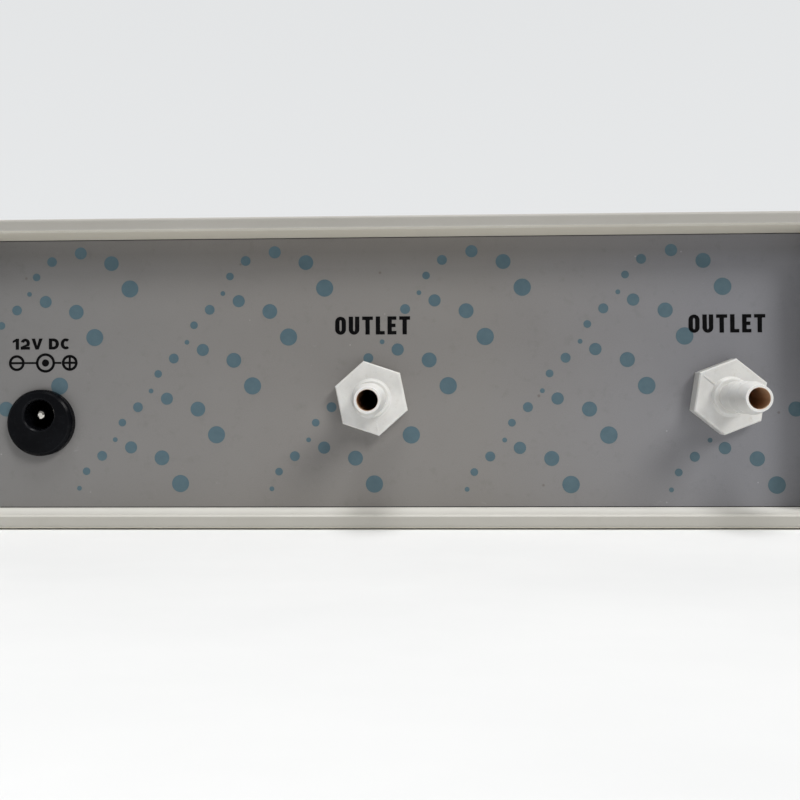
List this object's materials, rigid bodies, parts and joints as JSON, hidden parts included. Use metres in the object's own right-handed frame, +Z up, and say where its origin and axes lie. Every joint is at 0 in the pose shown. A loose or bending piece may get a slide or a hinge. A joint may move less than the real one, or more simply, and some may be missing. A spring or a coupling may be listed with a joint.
{
  "type": "air pump",
  "caption": "Low box-shaped air pump with recessed end panels, hose-barb air outlets, a low-voltage power socket, a motor-driven diaphragm mechanism, a flow knob and a rocker switch.",
  "frame": {"origin": "on the surface the feet stand on, below the middle of the whole object", "axes": "+Z up, outlet panel faces -Y, +X to the right seen from the outlet panel"},
  "size_m": [0.182, 0.1646, 0.0618],
  "materials": {
    "shell_plastic": "fine-textured moulded ABS, warm light grey",
    "panel_plastic": "smooth moulded plastic",
    "panel_film": "satin printed polyester film, grey",
    "white_plastic": "moulded white plastic, slightly soiled",
    "black_plastic": "glossy black moulding",
    "dark_plastic": "matte black moulding",
    "rubber_black": "matte rubber",
    "nickel": "bright nickel plate",
    "zinc_steel": "zinc-plated steel",
    "dark_steel": "motor steel",
    "aluminium_cast": "machined die-cast aluminium",
    "copper": "enamelled copper",
    "brass": "turned brass",
    "magnet": "sintered ferrite",
    "nylon": "natural nylon",
    "foam": "open-cell foam",
    "silicone": "translucent silicone tube",
    "board_green": "solder-masked board",
    "led_lens": "tinted lens",
    "wire": "PVC insulation"
  },
  "bodies": {
    "case": {"air_hose_a": "silicone", "air_hose_b": "silicone", "board_components": "dark_plastic", "bottom_shell": "shell_plastic", "bracket_screws": "zinc_steel", "case_screws": "zinc_steel", "circuit_board": "board_green", "control_panel": "panel_plastic", "control_panel_film": "panel_film", "crankcase": "aluminium_cast", "crankcase_cover": "aluminium_cast", "crankcase_cover_screws": "zinc_steel", "diaphragm_a": "rubber_black", "diaphragm_b": "rubber_black", "head_cover_a": "dark_plastic", "head_cover_b": "dark_plastic", "head_screws": "zinc_steel", "intake_foams": "foam", "jack_body": "black_plastic", "jack_nut": "nickel", "jack_pin": "nickel", "jack_terminals": "nickel", "left_outlet_fitting": "white_plastic", "motor_bushes": "brass", "motor_can": "dark_steel", "motor_end_cap": "nylon", "motor_magnets": "magnet", "motor_screws": "zinc_steel", "motor_terminals": "brass", "outlet_gaskets": "rubber_black", "outlet_nuts": "white_plastic", "outlet_panel": "panel_plastic", "outlet_panel_film": "panel_film", "pot_body": "zinc_steel", "power_led": "led_lens", "pump_bracket": "zinc_steel", "right_outlet_fitting": "white_plastic", "rubber_feet": "rubber_black", "rubber_mounts": "rubber_black", "switch_housing": "black_plastic", "top_shell": "shell_plastic", "umbrella_valves": "rubber_black", "valve_plates": "nylon", "wiring_leads": "wire"},
    "crank": {"motor_shaft": "zinc_steel", "armature_core": "dark_steel", "armature_windings": "copper", "commutator": "copper", "eccentric": "brass", "bearing_inner_rings": "zinc_steel", "bearing_balls": "nickel"},
    "rod_a": {"rod_a": "nylon", "bearing_outer_a": "zinc_steel", "retainer_a": "aluminium_cast"},
    "rod_b": {"rod_b": "nylon", "bearing_outer_b": "zinc_steel", "retainer_b": "aluminium_cast"},
    "knob": {"pot_shaft": "nylon", "airflow_knob": "black_plastic"},
    "rocker": {"switch_rocker": "dark_plastic"}
  },
  "joints": [
    {"name": "crank_spin", "type": "hinge", "parent": "case", "child": "crank", "pos_m": [0, 0, 0.0311], "axis": [0, 1, 0], "continuous": true},
    {"name": "rod_a_swivel", "type": "hinge", "parent": "crank", "child": "rod_a", "pos_m": [0.0015, -0.0022, 0.0311], "axis": [0, 1, 0], "continuous": true, "deforming": ["diaphragm_a"]},
    {"name": "rod_b_swivel", "type": "hinge", "parent": "crank", "child": "rod_b", "pos_m": [0.0015, 0.0022, 0.0311], "axis": [0, 1, 0], "continuous": true, "deforming": ["diaphragm_b"]},
    {"name": "knob_turn", "type": "hinge", "parent": "case", "child": "knob", "pos_m": [0.06, 0.068, 0.0311], "axis": [0, -1, 0], "range_deg": [0, 270]},
    {"name": "rocker_tilt", "type": "hinge", "parent": "case", "child": "rocker", "pos_m": [-0.06, 0.0625, 0.0311], "axis": [1, 0, 0], "range_deg": [0, 20]}
  ],
  "couplings": [
    {"joint": "rod_a_swivel", "follows": "crank_spin", "ratio": -1},
    {"joint": "rod_b_swivel", "follows": "crank_spin", "ratio": -1}
  ]
}
